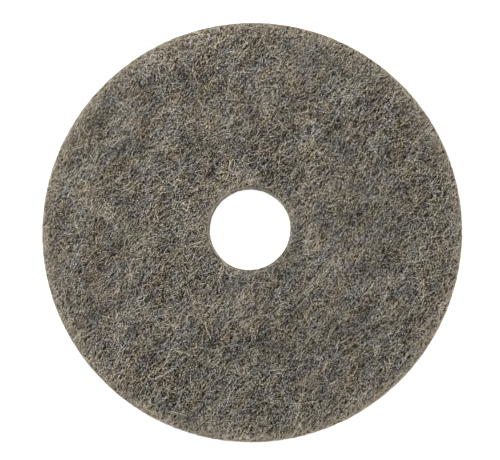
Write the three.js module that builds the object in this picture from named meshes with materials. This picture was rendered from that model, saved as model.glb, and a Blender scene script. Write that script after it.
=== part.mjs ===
// A floor burnishing pad: one die-cut disc of thick non-woven fibre, with a round hole at its centre.
// Millimetres, +Z up. The pad lies flat on its lower face, and its origin is on that face, at the hole's centre.

import * as THREE from 'three';

// Driving dimensions
const PAD_DIAMETER = 432;
const HOLE_DIAMETER = 85;
const THICKNESS = 25.4;

// The cut rolls the fibres over a little at each edge of both faces
const RIM_EDGE_RADIUS = 3;
const HOLE_EDGE_RADIUS = 2;

// How finely the round shapes are faceted
const FACETS_AROUND = 120;
const STEPS_PER_EDGE = 3;

// Fibre, as the photograph shows it overall
const FIBRE_COLOUR = 0x6d675d;
const FIBRE_ROUGHNESS = 0.95;

// An edge radius never takes more than this share of the thickness, or of the ring's width
const MOST_OF_WALL = 0.45;

const QUARTER_TURN = Math.PI / 2;

function limitedRadius(radius) {
  const ringWidth = (PAD_DIAMETER - HOLE_DIAMETER) / 2;
  return Math.min(radius, MOST_OF_WALL * THICKNESS, MOST_OF_WALL * ringWidth);
}

// A quarter circle from the given angle, anticlockwise, as points of the profile
function roundedCorner(centreRadius, centreHeight, cornerRadius, startAngle) {
  const points = [];
  for (let step = 0; step <= STEPS_PER_EDGE; step += 1) {
    const angle = startAngle + (QUARTER_TURN * step) / STEPS_PER_EDGE;
    const radius = centreRadius + cornerRadius * Math.cos(angle);
    const height = centreHeight + cornerRadius * Math.sin(angle);
    points.push(new THREE.Vector2(radius, height));
  }
  return points;
}

// The ring's section: up the rim, in over the upper face, down the hole's wall and out under the lower face
function padProfile() {
  const rimEdge = limitedRadius(RIM_EDGE_RADIUS);
  const holeEdge = limitedRadius(HOLE_EDGE_RADIUS);
  const rimCentre = PAD_DIAMETER / 2 - rimEdge;
  const holeCentre = HOLE_DIAMETER / 2 + holeEdge;
  const outline = [
    ...roundedCorner(rimCentre, rimEdge, rimEdge, -QUARTER_TURN),
    ...roundedCorner(rimCentre, THICKNESS - rimEdge, rimEdge, 0),
    ...roundedCorner(holeCentre, THICKNESS - holeEdge, holeEdge, QUARTER_TURN),
    ...roundedCorner(holeCentre, holeEdge, holeEdge, 2 * QUARTER_TURN),
  ];
  return [...outline, outline[0].clone()];
}

function makePad() {
  const geometry = new THREE.LatheGeometry(padProfile(), FACETS_AROUND);
  geometry.rotateX(QUARTER_TURN);
  const material = new THREE.MeshStandardMaterial({
    color: FIBRE_COLOUR,
    roughness: FIBRE_ROUGHNESS,
    metalness: 0,
  });
  const pad = new THREE.Mesh(geometry, material);
  pad.name = 'pad';
  return pad;
}

const burnishingPad = new THREE.Group();
burnishingPad.add(makePad());

export default burnishingPad;
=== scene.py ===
import math
from dataclasses import dataclass

import bpy
import numpy as np
from mathutils import Matrix, Vector, noise


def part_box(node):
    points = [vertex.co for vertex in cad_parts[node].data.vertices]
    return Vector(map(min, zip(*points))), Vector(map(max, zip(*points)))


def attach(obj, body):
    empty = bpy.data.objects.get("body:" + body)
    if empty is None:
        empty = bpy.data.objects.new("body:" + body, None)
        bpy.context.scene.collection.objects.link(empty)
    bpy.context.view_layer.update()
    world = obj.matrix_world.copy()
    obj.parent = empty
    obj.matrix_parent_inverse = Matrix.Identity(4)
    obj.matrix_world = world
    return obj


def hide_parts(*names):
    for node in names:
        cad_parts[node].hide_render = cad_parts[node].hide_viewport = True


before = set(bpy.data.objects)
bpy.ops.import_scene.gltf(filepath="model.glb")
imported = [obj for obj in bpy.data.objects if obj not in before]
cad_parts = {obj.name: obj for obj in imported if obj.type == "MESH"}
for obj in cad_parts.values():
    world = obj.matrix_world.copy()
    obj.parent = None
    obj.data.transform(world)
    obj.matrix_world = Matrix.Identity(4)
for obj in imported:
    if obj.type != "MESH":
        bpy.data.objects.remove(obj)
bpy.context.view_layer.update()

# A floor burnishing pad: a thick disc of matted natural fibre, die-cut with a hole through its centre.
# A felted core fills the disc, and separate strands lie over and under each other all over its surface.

MM = 0.001

# The disc, from the frame
low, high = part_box("pad")
cad_points = np.array([v.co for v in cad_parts["pad"].data.vertices])
RIM = (high.x - low.x) / 2
THICKNESS = high.z - low.z
HOLE = float(np.hypot(cad_points[:, 0], cad_points[:, 1]).min())

# The radii of its rounded edges
RIM_EDGE = 3.5 * MM
HOLE_EDGE = 1.4 * MM

# The faces slope down a little towards the rim and the hole, where the cut pressed the web
RIM_PRESSED = 1.6 * MM
RIM_PRESSED_WIDTH = 27 * MM
HOLE_PRESSED = 0.6 * MM
HOLE_PRESSED_WIDTH = 9 * MM

# The strands lie in this much of the disc, over the core, and stand a little way into the hole
COAT = 1.6 * MM
HOLE_FUZZ = 0.5 * MM

# The direction that most strands on the faces keep near, anticlockwise from +X
GRAIN = math.radians(51)


def rolled_over(past, edge):
    """How far a surface has dropped, this far past the start of an edge of this radius."""
    past = np.clip(past, 0, edge)
    return edge - np.sqrt(edge**2 - past**2)


def pressed(radius):
    """How far the face is pressed in at this radius, apart from its rounded edges."""
    near_rim = np.clip(1 - (RIM - radius) / RIM_PRESSED_WIDTH, 0, 1)
    near_hole = np.clip(1 - (radius - HOLE) / HOLE_PRESSED_WIDTH, 0, 1)
    return RIM_PRESSED * near_rim**2 + HOLE_PRESSED * near_hole**2


# Charts that lay flat paths on the disc's faces and walls

def on_face(path, depth, side):
    """Points on the upper (side 1) or lower (side -1) face, this deep in it, and the way out of it."""
    x, y = path[..., 0], path[..., 1]
    radius = np.hypot(x, y)
    drop = rolled_over(radius - (RIM - RIM_EDGE), RIM_EDGE)
    drop = drop + rolled_over(HOLE + HOLE_EDGE - radius, HOLE_EDGE) + pressed(radius)
    height = THICKNESS / 2 + side * (THICKNESS / 2 - drop - depth)
    out = np.zeros(x.shape + (3,))
    out[..., 2] = side
    return np.stack([x, y, height], -1), out


def on_wall(path, depth, radius, outward):
    """Points on the rim (outward 1) or the hole's wall (outward -1): along it, then up it."""
    along, up = path[..., 0], path[..., 1]
    edge = RIM_EDGE if outward > 0 else HOLE_EDGE
    drop = rolled_over(edge - up, edge) + rolled_over(up - (THICKNESS - edge), edge)
    reach = radius - outward * (drop + depth)
    angle = along / radius
    around = np.stack([np.cos(angle), np.sin(angle), np.zeros_like(angle)], -1)
    points = reach[..., None] * around
    points[..., 2] = THICKNESS / 2 + (up - THICKNESS / 2) * (1 - 2 * pressed(radius) / THICKNESS)
    return points, outward * around


# Strands

# A path is worked out in this many points, and a strand shorter than this is left out
FINE_STEPS = 41
SHORTEST = 2.5 * MM

# Each strand's length and radius are between these shares of its kind's
LENGTH_SHARES = (0.65, 1.35)
RADIUS_SHARES = (0.7, 1.3)

# A strand swings slowly and quickly at once, this many times along it, the second less strongly
SLOW_SWINGS = (0.5, 1.1)
QUICK_SWINGS = (1.4, 2.8)
SWING_SHARES = np.array([1, 0.6])

# The share of its kind's waves, in and out of the web, that each strand makes
WAVE_SHARES = (0.5, 0.9)

# On the faces, this share of the strands keeps near the grain, within about this many radians
GRAIN_SHARE = 0.66
GRAIN_SPREAD = 0.4

# On the walls, the strands lie within about this many radians of level
RIM_SPREAD = 0.75
HOLE_SPREAD = 2.0

# The strands' middles are placed this far inside the rim, the hole's edge and the walls' edges
RIM_INSET = 0.8 * MM
HOLE_INSET = 0.3 * MM
WALL_INSET = 0.6 * MM

# Their ends come nearer to the rim and the walls' edges, and reach a little way over the hole
RIM_GAP = 0.3 * MM
WALL_GAP = 0.4 * MM
HOLE_OVERHANG = 0.3 * MM

# Evenly spread points are shifted at random by this share of their spacing
SHIFT = 0.5

# Steps, as shares of a rectangle's two sides, that fill it evenly
EVEN_STEPS = np.array([0.7548776662, 0.569840291])

# A strand is a tube with this many sides
SIDES = 3

# A strand's faces fill this part of its own cell of the map, along it and across it
MAP_ALONG = (0.05, 0.95)
MAP_ACROSS = (0.1, 0.9)
MAP_MIDDLE = 0.5

# Added to a length before a division by it, in case it is zero
TINY = 1e-12


@dataclass
class Kind:
    """How one kind of strand is made, in metres and radians.

    Its heading swings by about the swing. Its middle lies as deep as the deepest or less, and its ends
    are deeper by the dive. It also goes in and out of the web by the wave, fewer times than the waves.
    """

    length: float
    radius: float
    points: int
    swing: float
    deepest: float
    wave: float
    waves: float
    dive: float


BIT = Kind(
    length=7.0 * MM, radius=0.3 * MM, points=3, swing=0.2,
    deepest=1.0 * MM, wave=0.0, waves=1, dive=0.8 * MM,
)
SHORT = Kind(
    length=11 * MM, radius=0.25 * MM, points=4, swing=0.2,
    deepest=0.8 * MM, wave=0.1 * MM, waves=1, dive=0.7 * MM,
)
LONG = Kind(
    length=19 * MM, radius=0.22 * MM, points=6, swing=0.2,
    deepest=0.6 * MM, wave=0.4 * MM, waves=3, dive=0.6 * MM,
)


def wandering(rng, centres, lengths, headings, swing):
    """Crimped paths through these centres: each heads one way and swings about it as it goes."""
    count = len(centres)
    s = np.linspace(-0.5, 0.5, FINE_STEPS)
    turns = rng.uniform(*SLOW_SWINGS, (count, 1)), rng.uniform(*QUICK_SWINGS, (count, 1))
    phases = rng.uniform(0, 2 * np.pi, (2, count, 1))
    swings = rng.normal(0, swing, (2, count, 1)) * SWING_SHARES[:, None, None]
    heading = headings[:, None]
    for k in range(2):
        heading = heading + swings[k] * np.sin(2 * np.pi * turns[k] * s + phases[k])
    step = lengths[:, None] / (FINE_STEPS - 1)
    moves = step[..., None] * np.stack([np.cos(heading), np.sin(heading)], -1)
    path = np.cumsum(moves, 1)
    return path - path[:, FINE_STEPS // 2, None] + centres[:, None]


def trimmed(path, inside, points):
    """Each path's stretch round its middle that is inside, as this many points, without the short ones."""
    middle = FINE_STEPS // 2
    outside = ~inside
    after = outside[:, middle:]
    end = np.where(after.any(1), middle + after.argmax(1) - 1, FINE_STEPS - 1)
    before = outside[:, middle::-1]
    start = np.where(before.any(1), middle - before.argmax(1) + 1, 0)
    at = start[:, None] + (end - start)[:, None] * np.linspace(0, 1, points)
    low_index = np.clip(np.floor(at).astype(int), 0, FINE_STEPS - 2)
    share = (at - low_index)[..., None]
    rows = np.arange(len(path))[:, None]
    kept = path[rows, low_index] * (1 - share) + path[rows, low_index + 1] * share
    return kept[np.linalg.norm(np.diff(kept, axis=1), axis=2).sum(1) > SHORTEST]


def weaving(rng, count, kind):
    """How deep each strand lies along its length."""
    base = rng.uniform(0, 1, (count, 1)) * kind.deepest
    s = np.linspace(-1, 1, kind.points)
    waves = rng.uniform(*WAVE_SHARES, (count, 1)) * kind.waves
    phase = rng.uniform(0, 2 * np.pi, (count, 1))
    wave = kind.wave * np.sin(np.pi * waves * s + phase)
    return base + wave + kind.dive * np.abs(s) ** 3


def tube_faces(points):
    """The faces of a tube with pointed ends, and their corners' places in its own cell of the map."""
    last = 1 + SIDES * (points - 2)
    along = np.linspace(*MAP_ALONG, points)
    near, far = MAP_ACROSS
    faces, places = [], []
    for a in range(SIDES):
        b = (a + 1) % SIDES
        faces.append([0, 1 + b, 1 + a])
        places.append([(along[0], MAP_MIDDLE), (along[1], far), (along[1], near)])
        faces.append([last, last - SIDES + a, last - SIDES + b])
        places.append([(along[-1], MAP_MIDDLE), (along[-2], near), (along[-2], far)])
        for j in range(points - 3):
            ring = 1 + SIDES * j
            u, next_u = along[j + 1], along[j + 2]
            faces.append([ring + a, ring + b, ring + SIDES + b, ring + SIDES + a])
            places.append([(u, near), (u, far), (next_u, far), (next_u, near)])
    return faces, places


def store(mesh, name, values):
    layer = mesh.attributes.new(name, "FLOAT", "POINT")
    layer.data.foreach_set("value", np.ascontiguousarray(values, np.float32).ravel())


def tube_mesh(name, paths, outs, radii, depth, rng):
    """One mesh of closed tubes, which taper to a point at both ends."""
    count, points = paths.shape[:2]
    tangent = np.gradient(paths, axis=1)
    tangent /= np.linalg.norm(tangent, axis=2, keepdims=True) + TINY
    side = np.cross(outs, tangent)
    side /= np.linalg.norm(side, axis=2, keepdims=True) + TINY
    up = np.cross(tangent, side)
    corner = np.radians(90 + 360 / SIDES * np.arange(SIDES))[:, None]
    ring = np.cos(corner) * side[:, 1:-1, None] + np.sin(corner) * up[:, 1:-1, None]
    ring = paths[:, 1:-1, None] + radii[:, None, None, None] * ring
    verts = np.concatenate([paths[:, :1], ring.reshape(count, -1, 3), paths[:, -1:]], 1)
    per = verts.shape[1]
    faces, places = tube_faces(points)
    loops = np.array([i for face in faces for i in face])
    sizes = np.tile([len(face) for face in faces], count)
    all_loops = loops[None] + per * np.arange(count)[:, None]
    mesh = bpy.data.meshes.new(name)
    mesh.vertices.add(count * per)
    mesh.vertices.foreach_set("co", verts.astype(np.float32).ravel())
    mesh.loops.add(all_loops.size)
    mesh.loops.foreach_set("vertex_index", all_loops.astype(np.int32).ravel())
    mesh.polygons.add(len(sizes))
    starts = np.concatenate([[0], np.cumsum(sizes)[:-1]])
    mesh.polygons.foreach_set("loop_start", starts.astype(np.int32))
    mesh.polygons.foreach_set("use_smooth", np.ones(len(sizes), bool))
    cells = math.ceil(math.sqrt(count))
    cell = np.stack([np.arange(count) % cells, np.arange(count) // cells], -1)
    spots = np.array([place for face in places for place in face])
    uv = (cell[:, None] + spots[None]) / cells
    mesh.uv_layers.new(name="OFBake").data.foreach_set("uv", uv.astype(np.float32).ravel())
    ring_depth = np.repeat(depth[:, 1:-1], SIDES, 1)
    store(mesh, "tone", np.repeat(rng.random(count), per))
    # Each point's depth as a share of the coat's, which the material uses to paint shade on the deeper
    # strands
    store(mesh, "painted_shade_depth", np.concatenate([depth[:, :1], ring_depth, depth[:, -1:]], 1) / COAT)
    mesh.update(calc_edges=True)
    return mesh


def scattered_on_ring(rng, count, inner, outer):
    """Points spread over a flat ring on a sunflower spiral, then shifted at random."""
    turn = np.pi * (3 - np.sqrt(5))
    spacing = np.sqrt(np.pi * (outer**2 - inner**2) / count)
    radius = np.sqrt(inner**2 + (np.arange(count) + 0.5) / count * (outer**2 - inner**2))
    angle = np.arange(count) * turn + rng.uniform(0, 2 * np.pi)
    points = np.stack([radius * np.cos(angle), radius * np.sin(angle)], -1)
    return points + rng.normal(0, SHIFT * spacing, points.shape)


def scattered_on_wall(rng, count, length):
    """Points spread evenly along a wall of this length and up it, then shifted at random."""
    steps = np.arange(count)[:, None] * EVEN_STEPS % 1
    lowest, highest = WALL_INSET, THICKNESS - WALL_INSET
    points = steps * (length, highest - lowest) + (0, lowest)
    spacing = np.sqrt(length * (highest - lowest) / count)
    points += rng.normal(0, SHIFT * spacing, points.shape)
    points[:, 1] = np.clip(points[:, 1], lowest, highest)
    return points


def headings_with_grain(rng, count):
    """Headings, of which some keep near the web's grain."""
    heading = rng.uniform(0, np.pi, count)
    along = rng.random(count) < GRAIN_SHARE
    heading[along] = GRAIN + rng.normal(0, GRAIN_SPREAD, along.sum())
    return heading


def tubes_along(name, rng, path, kind, chart):
    """Tubes of this kind along these flat paths, which the chart lays on the disc at each point's depth."""
    radii = kind.radius * rng.uniform(*RADIUS_SHARES, len(path))
    depth = np.maximum(weaving(rng, len(path), kind), radii[:, None])
    paths, outs = chart(path, depth)
    return tube_mesh(name, paths, outs, radii, depth, rng)


def face_strands(name, seed, count, side, kind):
    """Strands on the upper (side 1) or lower (side -1) face."""
    rng = np.random.default_rng(seed)
    centres = scattered_on_ring(rng, count, HOLE + HOLE_INSET, RIM - RIM_INSET)
    lengths = kind.length * rng.uniform(*LENGTH_SHARES, count)
    path = wandering(rng, centres, lengths, headings_with_grain(rng, count), kind.swing)
    reach = np.hypot(path[..., 0], path[..., 1])
    inside = (reach > HOLE - HOLE_OVERHANG) & (reach < RIM - RIM_GAP)
    path = trimmed(path, inside, kind.points)
    return tubes_along(name, rng, path, kind, lambda flat, depth: on_face(flat, depth, side))


def wall_strands(name, seed, count, outward, kind):
    """Strands on the rim (outward 1) or the hole's wall (outward -1), where they head nearly every way."""
    rng = np.random.default_rng(seed)
    wall, spread = (RIM, RIM_SPREAD) if outward > 0 else (HOLE - HOLE_FUZZ, HOLE_SPREAD)
    centres = scattered_on_wall(rng, count, 2 * np.pi * wall)
    lengths = kind.length * rng.uniform(*LENGTH_SHARES, count)
    path = wandering(rng, centres, lengths, rng.normal(0, spread, count), kind.swing)
    inside = (path[..., 1] > WALL_GAP) & (path[..., 1] < THICKNESS - WALL_GAP)
    path = trimmed(path, inside, kind.points)
    return tubes_along(name, rng, path, kind, lambda flat, depth: on_wall(flat, depth, wall, outward))


# The felted core

# How many facets it has around, and about how long they are across its flat stretches
AROUND = 180
CORE_STEP = 5 * MM

# Where the points of a rounded corner are, in degrees from its start
CORNER_ANGLES = np.array([0, 30, 60, 90])

# Its surface has lumps of these sizes, which stand this high
LUMP_SIZES = (7 * MM, 2.6 * MM)
LUMP_HEIGHT = 0.25 * MM


def core_profile():
    """The core's section: up the rim, in over the top, down the hole's wall and out underneath."""
    inner, outer = HOLE + COAT, RIM - COAT
    bottom, top = COAT, THICKNESS - COAT

    def corner(radius, height, edge, start):
        angles = np.radians(start + CORNER_ANGLES)
        return [(radius + edge * math.cos(a), height + edge * math.sin(a)) for a in angles]

    def run(a, b):
        steps = max(int(np.hypot(b[0] - a[0], b[1] - a[1]) / CORE_STEP), 2)
        shares = [k / steps for k in range(1, steps)]
        return [(a[0] + (b[0] - a[0]) * share, a[1] + (b[1] - a[1]) * share) for share in shares]

    rim_in, hole_in = outer - RIM_EDGE, inner + HOLE_EDGE
    corners = [
        corner(rim_in, bottom + RIM_EDGE, RIM_EDGE, -90),
        corner(rim_in, top - RIM_EDGE, RIM_EDGE, 0),
        corner(hole_in, top - HOLE_EDGE, HOLE_EDGE, 90),
        corner(hole_in, bottom + HOLE_EDGE, HOLE_EDGE, 180),
    ]
    profile = []
    for k, points in enumerate(corners):
        profile += points + run(points[-1], corners[(k + 1) % len(corners)][0])
    return np.array(profile)


def core_mesh():
    """The section turned round the pad's axis, pressed as the faces are, with lumps in its surface."""
    profile = core_profile()
    count = len(profile)
    upward = (profile[:, 1] - THICKNESS / 2) / (THICKNESS / 2 - COAT)
    profile[:, 1] -= pressed(profile[:, 0]) * upward
    angle = np.linspace(0, 2 * np.pi, AROUND, endpoint=False)
    across = np.outer(np.cos(angle), profile[:, 0])
    along = np.outer(np.sin(angle), profile[:, 0])
    verts = np.stack([across, along, np.tile(profile[:, 1], (AROUND, 1))], -1).reshape(-1, 3)
    faces = []
    for i in range(AROUND):
        here, there = i * count, (i + 1) % AROUND * count
        for j in range(count):
            k = (j + 1) % count
            faces.append((here + j, there + j, there + k, here + k))
    mesh = bpy.data.meshes.new("felt_core")
    mesh.from_pydata(verts.tolist(), [], faces)
    mesh.update()
    normals = np.array([v.normal for v in mesh.vertices])
    lumps = np.array([sum(noise.noise(Vector(p) / size) for size in LUMP_SIZES) for p in verts])
    verts = verts + normals * lumps[:, None] * LUMP_HEIGHT
    mesh.vertices.foreach_set("co", verts.astype(np.float32).ravel())
    mesh.polygons.foreach_set("use_smooth", np.ones(len(mesh.polygons), bool))
    mesh.update()
    return mesh


# Node helpers

# The Mix node's sockets for colours, by number, since those for numbers have the same names
MIX_FACTOR, MIX_A, MIX_B, MIX_RESULT = 0, 6, 7, 2


def linear(code):
    """A hex colour as linear RGBA, by the sRGB curve."""
    parts = [int(code[k : k + 2], 16) / 255 for k in (0, 2, 4)]
    return [p / 12.92 if p <= 0.04045 else ((p + 0.055) / 1.055) ** 2.4 for p in parts] + [1.0]


def node(tree, kind, inputs=(), **settings):
    """Adds a node. The inputs are sockets to link from, or values; the settings are its own properties."""
    made = tree.nodes.new("ShaderNode" + kind)
    for name, value in settings.items():
        setattr(made, name, value)
    for socket, source in dict(inputs).items():
        if isinstance(source, bpy.types.NodeSocket):
            tree.links.new(source, made.inputs[socket])
        else:
            made.inputs[socket].default_value = source
    return made


def ramp(tree, fac, stops):
    made = node(tree, "ValToRGB", {"Fac": fac})
    elements = made.color_ramp.elements
    while len(elements) < len(stops):
        elements.new(0.5)
    for element, (position, colour) in zip(elements, stops):
        element.position = position
        element.color = linear(colour)
    return made.outputs["Color"]


def mix(tree, fac, a, b, blend="MIX"):
    inputs = {MIX_FACTOR: fac, MIX_A: a, MIX_B: b}
    return node(tree, "Mix", inputs, data_type="RGBA", blend_type=blend).outputs[MIX_RESULT]


def maths(tree, operation, a, b):
    return node(tree, "Math", {0: a, 1: b}, operation=operation).outputs[0]


def noise_at(tree, where, scale, detail=2.0, roughness=0.5):
    inputs = {"Vector": where, "Scale": scale, "Detail": detail, "Roughness": roughness}
    return node(tree, "TexNoise", inputs).outputs["Fac"]


def map_range(tree, value, a, b, c=0.0, d=1.0, kind="LINEAR"):
    inputs = {"Value": value, "From Min": a, "From Max": b, "To Min": c, "To Max": d}
    return node(tree, "MapRange", inputs, interpolation_type=kind).outputs["Result"]


def attribute(tree, name):
    return node(tree, "Attribute", attribute_name=name).outputs["Fac"]


def place(tree):
    return node(tree, "TexCoord").outputs["Object"]


def height_of(tree, where):
    return node(tree, "SeparateXYZ", {0: where}).outputs["Z"]


def radius_of(tree, where):
    flat = node(tree, "VectorMath", {0: where, 1: (1, 1, 0)}, operation="MULTIPLY").outputs[0]
    return node(tree, "VectorMath", {0: flat}, operation="LENGTH").outputs["Value"]


def drawn_out(tree, where, angle, stretch):
    """Coordinates that draw a pattern out at this angle, by this much."""
    turned = {"Vector": where, "Rotation": (0, 0, angle), "Scale": (stretch, 1, 1)}
    return node(tree, "Mapping", turned, vector_type="TEXTURE").outputs[0]


def new_material(name, roughness, specular):
    material = bpy.data.materials.new(name)
    material.use_nodes = True
    tree = material.node_tree
    shader = tree.nodes["Principled BSDF"]
    shader.inputs["Roughness"].default_value = roughness
    shader.inputs["Specular IOR Level"].default_value = specular
    return material, tree, shader


# Materials

# The strands' greys, from charcoal to cream
STRAND_GREYS = (41, 76, 116, 153, 186, 220)

# How much more red than blue the cool and the warm patches have
COOL = 8
WARM = 36

# That difference, as a share of more red and a share of less blue
MORE_RED = 0.33
LESS_BLUE = 0.67

# Its strength in the darkest grey, and how much of that is lost by the palest
WARMTH_IN_DARK = 1.2
WARMTH_LOST = 0.4

# Painted light near the cut edges, and painted shade deep between the strands
PAINTED_EDGE_LIGHT = linear("dacfb9")
PAINTED_SHADE_IN_GAPS = linear("60563f")

# Shares of the coat's depth between which painted shade darkens the strands
SHALLOW = 0.2
DEEP = 0.9

# The patches are drawn out by this much along the grain, and have this many lumps to the metre
PATCH_STRETCH = 1.9
WARM_PATCHES = 85.0
DARK_PATCHES = 38.0

# What a dark patch, a pale patch and a warm one add to the tone
DARK_PATCH = -0.28
PALE_PATCH = 0.06
WARM_PATCH = 0.2

# The flecks' lumps to the metre
FLECKS = 840.0

# The noise values that a pattern is stretched from, the narrow range for more contrast
NOISE_RANGE = (0.3, 0.7)
NARROW_RANGE = (0.35, 0.65)

# How fast the painted light bands fade away from the rim and from the hole, and how strong the hole's is
RIM_FADE = 30
HOLE_FADE = 9
HOLE_PALENESS = 0.45

# The painted light bands are full at the first depth under the upper face, and this much is left at the
# second
FULLY_PALE = 2.5 * MM
HARDLY_PALE = 6 * MM
PALENESS_LEFT = 0.1

# The core's fine lines: their turns from the grain in radians, their stretch, and their lumps to the metre
LINE_TURNS = (0.0, 0.9, 2.1)
LINE_STRETCH = 6.0
LINES = 900.0

# The noise values that a line rises between
LINE_RANGE = (0.5, 0.75)

# The core's colours where it is painted dark as shade under the strands, and its tones where it is open,
# each from the gaps to the lines
CORE_PAINTED_SHADE = [(0.0, "16120c"), (0.5, "2e281f"), (1.0, "574e40")]
OPEN_CORE = (0.1, 0.8)

# It has painted shade down to the first depth under the upper face, and is open from the second
LAST_PAINTED_SHADE = 4.5 * MM
FIRST_OPEN = 6 * MM


def tones(warmth):
    """The strands' tones, as stops of a ramp: red is this much above blue, more so in the darker ones."""
    last = len(STRAND_GREYS) - 1
    stops = []
    for k, grey in enumerate(STRAND_GREYS):
        apart = warmth * (WARMTH_IN_DARK - WARMTH_LOST * k / last)
        red, blue = grey + MORE_RED * apart, grey - LESS_BLUE * apart
        stops.append((k / last, f"{round(red):02x}{grey:02x}{round(blue):02x}"))
    return stops


def in_patches(tree, where, tone):
    """The colour of this tone, in patches that lie along the grain: warm and pale, or cool and dark."""
    clumps = drawn_out(tree, where, GRAIN, PATCH_STRETCH)
    warm = noise_at(tree, clumps, WARM_PATCHES, detail=4.0, roughness=0.58)
    warm = map_range(tree, warm, *NARROW_RANGE)
    patch = noise_at(tree, clumps, DARK_PATCHES, detail=3.0)
    patch = map_range(tree, patch, *NOISE_RANGE, DARK_PATCH, PALE_PATCH)
    patch = maths(tree, "ADD", patch, maths(tree, "MULTIPLY", warm, WARM_PATCH))
    tone = maths(tree, "ADD", tone, patch)
    return mix(tree, warm, ramp(tree, tone, tones(COOL)), ramp(tree, tone, tones(WARM)))


def painted_edge_light_mask(tree, where):
    """How much painted light a point on the upper face gets near the rim or the hole's edge, and much less
    below the face.
    """
    radius = radius_of(tree, where)
    near_rim = maths(tree, "POWER", maths(tree, "DIVIDE", radius, RIM), RIM_FADE)
    near_hole = maths(tree, "POWER", maths(tree, "DIVIDE", HOLE, radius), HOLE_FADE)
    near_hole = maths(tree, "MULTIPLY", near_hole, HOLE_PALENESS)
    bottom, top = THICKNESS - HARDLY_PALE, THICKNESS - FULLY_PALE
    upper = map_range(tree, height_of(tree, where), bottom, top, PALENESS_LEFT, 1.0)
    return maths(tree, "MULTIPLY", maths(tree, "ADD", near_rim, near_hole), upper)


def strand_material(name, darker, paler):
    """Each strand has its own tone, with flecks this much darker or paler, painted light near the cut
    edges, and painted shade deeper down.
    """
    material, tree, shader = new_material(name, roughness=0.6, specular=0.2)
    where = place(tree)
    flecks = noise_at(tree, where, FLECKS, detail=1.0)
    flecks = map_range(tree, flecks, *NOISE_RANGE, -darker, paler)
    colour = in_patches(tree, where, maths(tree, "ADD", attribute(tree, "tone"), flecks))
    # Painted light: a paler band towards the rim and the hole's edge on the upper face, where the rounded
    # edges catch the light
    colour = mix(tree, painted_edge_light_mask(tree, where), colour, PAINTED_EDGE_LIGHT)
    # Painted shade: the deeper a strand lies in the coat, the more it is darkened towards a warm dark
    painted_shade_depth = map_range(tree, attribute(tree, "painted_shade_depth"), SHALLOW, DEEP)
    colour = mix(tree, painted_shade_depth, colour, PAINTED_SHADE_IN_GAPS, "MULTIPLY")
    tree.links.new(colour, shader.inputs["Base Color"])
    return material


def crossing_lines(tree, where):
    """Fine pale lines that cross at several angles, like matted strands."""
    lines = 0.0
    for turn in LINE_TURNS:
        pattern = noise_at(tree, drawn_out(tree, where, GRAIN + turn, LINE_STRETCH), LINES)
        lines = maths(tree, "MAXIMUM", lines, pattern)
    return map_range(tree, lines, *LINE_RANGE)


def core_material():
    """Painted dark as shade under the upper face's close strands, and as pale as strands where they lie
    further apart.
    """
    material, tree, shader = new_material("felt_core", roughness=0.9, specular=0.1)
    where = place(tree)
    line = crossing_lines(tree, where)
    tone = map_range(tree, line, 0.0, 1.0, *OPEN_CORE)
    top, bottom = THICKNESS - LAST_PAINTED_SHADE, THICKNESS - FIRST_OPEN
    open_parts = map_range(tree, height_of(tree, where), top, bottom)
    # Painted shade: the top of the core under the strands is dark, while lower down it shows the felt's own
    # colours
    colour = mix(tree, open_parts, ramp(tree, line, CORE_PAINTED_SHADE), in_patches(tree, where, tone))
    tree.links.new(colour, shader.inputs["Base Color"])
    bump = node(tree, "Bump", {"Height": line, "Strength": 0.6, "Distance": 0.5 * MM})
    tree.links.new(bump.outputs["Normal"], shader.inputs["Normal"])
    return material


# Pieces

def put(mesh, material):
    piece = bpy.data.objects.new(mesh.name, mesh)
    bpy.context.scene.collection.objects.link(piece)
    mesh.materials.append(material)
    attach(piece, "root")
    return piece


core = put(core_mesh(), core_material())
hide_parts("pad")

flecked = strand_material("flecked_strands", darker=0.73, paler=0.73)
streaked = strand_material("streaked_strands", darker=0.57, paler=0.63)
even = strand_material("even_strands", darker=0.15, paler=0.35)
put(face_strands("upper_bits_a", seed=11, count=26000, side=1, kind=BIT), flecked)
put(face_strands("upper_bits_b", seed=19, count=26000, side=1, kind=BIT), flecked)
put(face_strands("upper_bits_c", seed=20, count=26000, side=1, kind=BIT), flecked)
put(face_strands("upper_short_strands", seed=12, count=8000, side=1, kind=SHORT), flecked)
put(face_strands("upper_long_strands", seed=13, count=4500, side=1, kind=LONG), streaked)
put(face_strands("lower_bits", seed=14, count=12000, side=-1, kind=BIT), flecked)
put(face_strands("lower_long_strands", seed=15, count=2000, side=-1, kind=LONG), even)
put(wall_strands("rim_bits", seed=16, count=16000, outward=1, kind=BIT), flecked)
put(wall_strands("rim_strands", seed=17, count=2500, outward=1, kind=SHORT), even)
put(wall_strands("hole_bits", seed=21, count=3000, outward=-1, kind=BIT), flecked)
put(wall_strands("hole_strands", seed=18, count=800, outward=-1, kind=SHORT), even)


# The floor, light and camera

FLOOR_SIZE = 12.0
FLOOR_GREY = 0.5
FLOOR_GLOW = 0.9
WHITE = (1, 1, 1, 1)

KEY_PLACE = (-0.38, 0.36, 0.9)
KEY_SIZE = 0.2
KEY_WATTS = 12.4

# The surround is white up to the first height in it, and falls to this much from the second up
WHITE_UP_TO = 0.15
SOFTER_FROM = 0.6
OVERHEAD = 0.45

# The camera's distance from the point it looks at, on the upper face, and its lean from straight above
CAMERA_DISTANCE = 0.9
CAMERA_LEAN = (math.radians(3.5), math.radians(-4.5))
CAMERA_AIM = (1.3 * MM, -1.81 * MM)

# The focal length and the frame's width in pixels, and the sensor's width in millimetres
FOCAL_PIXELS = 882.4
FRAME_PIXELS = 500.0
SENSOR = 36.0


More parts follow.
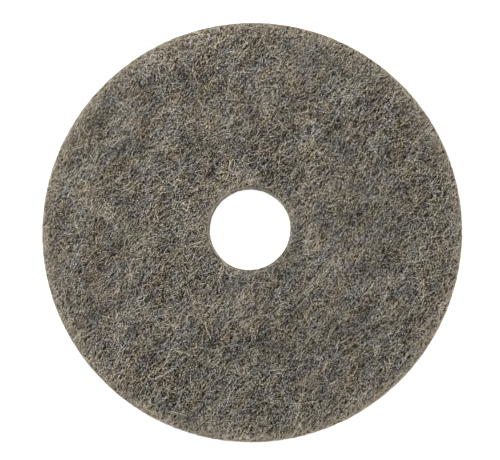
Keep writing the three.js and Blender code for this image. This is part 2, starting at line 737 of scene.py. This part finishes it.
def make_floor():
    mesh = bpy.data.meshes.new("floor")
    half = FLOOR_SIZE / 2
    corners = [(-half, -half, 0), (half, -half, 0), (half, half, 0), (-half, half, 0)]
    mesh.from_pydata(corners, [], [(0, 1, 2, 3)])
    floor = bpy.data.objects.new("floor", mesh)
    bpy.context.scene.collection.objects.link(floor)
    material, _, shader = new_material("floor", roughness=0.9, specular=0.0)
    shader.inputs["Base Color"].default_value = (FLOOR_GREY, FLOOR_GREY, FLOOR_GREY, 1)
    shader.inputs["Emission Color"].default_value = WHITE
    shader.inputs["Emission Strength"].default_value = FLOOR_GLOW
    mesh.materials.append(material)


def make_world():
    """White all round the horizon, and softer overhead, so that the key light shapes the strands."""
    world = bpy.data.worlds.new("studio")
    bpy.context.scene.world = world
    world.use_nodes = True
    tree = world.node_tree
    up = height_of(tree, node(tree, "TexCoord").outputs["Generated"])
    brightness = map_range(tree, up, WHITE_UP_TO, SOFTER_FROM, 1.0, OVERHEAD, "SMOOTHSTEP")
    background = tree.nodes["Background"]
    background.inputs["Color"].default_value = WHITE
    tree.links.new(brightness, background.inputs["Strength"])


def make_key_light():
    data = bpy.data.lights.new("key", "AREA")
    data.shape = "DISK"
    data.size = KEY_SIZE
    data.energy = KEY_WATTS
    light = bpy.data.objects.new("key", data)
    light.location = KEY_PLACE
    light.rotation_euler = (-Vector(KEY_PLACE)).to_track_quat("-Z", "Y").to_euler()
    bpy.context.scene.collection.objects.link(light)


def make_camera():
    data = bpy.data.cameras.new("camera")
    data.sensor_width = SENSOR
    data.lens = SENSOR * FOCAL_PIXELS / FRAME_PIXELS
    camera = bpy.data.objects.new("camera", data)
    bpy.context.scene.collection.objects.link(camera)
    across, along = math.sin(CAMERA_LEAN[0]), math.sin(CAMERA_LEAN[1])
    back = Vector((across, along, math.sqrt(1 - across**2 - along**2)))
    right = Vector((0, 1, 0)).cross(back).normalized()
    up = back.cross(right)
    aim = Vector((*CAMERA_AIM, THICKNESS))
    turn = Matrix((right, up, back)).transposed().to_4x4()
    camera.matrix_world = Matrix.Translation(aim + back * CAMERA_DISTANCE) @ turn
    bpy.context.scene.camera = camera


make_floor()
make_world()
make_key_light()
make_camera()
bpy.context.scene.view_settings.view_transform = "Standard"
